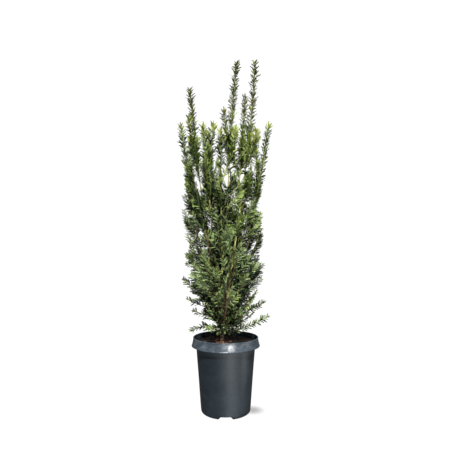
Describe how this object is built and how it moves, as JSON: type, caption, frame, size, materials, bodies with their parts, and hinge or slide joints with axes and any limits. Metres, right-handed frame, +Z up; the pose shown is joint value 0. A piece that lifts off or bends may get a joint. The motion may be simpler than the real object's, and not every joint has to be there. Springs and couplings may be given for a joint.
{
  "type": "potted hillii yew",
  "caption": "Young upright hybrid yew with slender stems in a dense narrow crown of dark green needles with yellow-green tips, growing in a round plastic nursery pot with a broad collar.",
  "frame": {"origin": "middle of the pot's flat underside, on the floor", "axes": "+Z up, +X to the right and -Y to the front of the picture, where the pot shows a foot notch"},
  "size_m": [0.2885, 0.2517, 1.0044],
  "materials": {
    "pot_plastic": "dark blue-grey moulded plastic with a soft sheen",
    "potting_soil": "dark moist compost with bark chips",
    "bark": "thin reddish-brown bark, greener on young stems",
    "foliage": "flat dark green needles, yellow-green at the shoot tips"
  },
  "bodies": {
    "root": {"pot": "pot_plastic", "soil": "potting_soil", "trunk": "bark", "stem_back_left": "bark", "stem_back_right": "bark", "stem_far_left": "bark", "stem_front": "bark", "stem_front_left": "bark", "stem_left": "bark", "stem_middle": "bark", "stem_right": "bark", "top_of_stem_back_left": "foliage", "top_of_stem_back_right": "foliage", "top_of_stem_far_left": "foliage", "top_of_stem_front": "foliage", "top_of_stem_front_left": "foliage", "top_of_stem_left": "foliage", "top_of_stem_middle": "foliage", "top_of_stem_right": "foliage", "top_of_trunk": "foliage", "low_spray_1": "foliage", "low_spray_2": "foliage", "low_spray_3": "foliage", "low_spray_4": "foliage", "low_spray_5": "foliage", "low_spray_6": "foliage", "low_spray_7": "foliage", "low_spray_8": "foliage", "low_spray_9": "foliage", "low_spray_10": "foliage", "low_spray_11": "foliage", "low_spray_12": "foliage", "low_spray_13": "foliage", "side_mass_1": "foliage", "side_mass_2": "foliage", "side_mass_3": "foliage", "side_mass_4": "foliage", "side_mass_5": "foliage", "side_mass_6": "foliage", "side_mass_7": "foliage", "side_mass_8": "foliage", "side_mass_9": "foliage", "side_mass_10": "foliage", "side_mass_11": "foliage", "side_mass_12": "foliage", "side_mass_13": "foliage", "side_mass_14": "foliage", "side_mass_15": "foliage", "side_mass_16": "foliage", "side_mass_17": "foliage", "side_mass_18": "foliage", "side_mass_19": "foliage", "side_mass_20": "foliage", "side_mass_21": "foliage", "side_mass_22": "foliage", "side_mass_23": "foliage", "side_mass_24": "foliage", "side_mass_25": "foliage", "side_mass_26": "foliage", "side_mass_27": "foliage"}
  },
  "joints": []
}
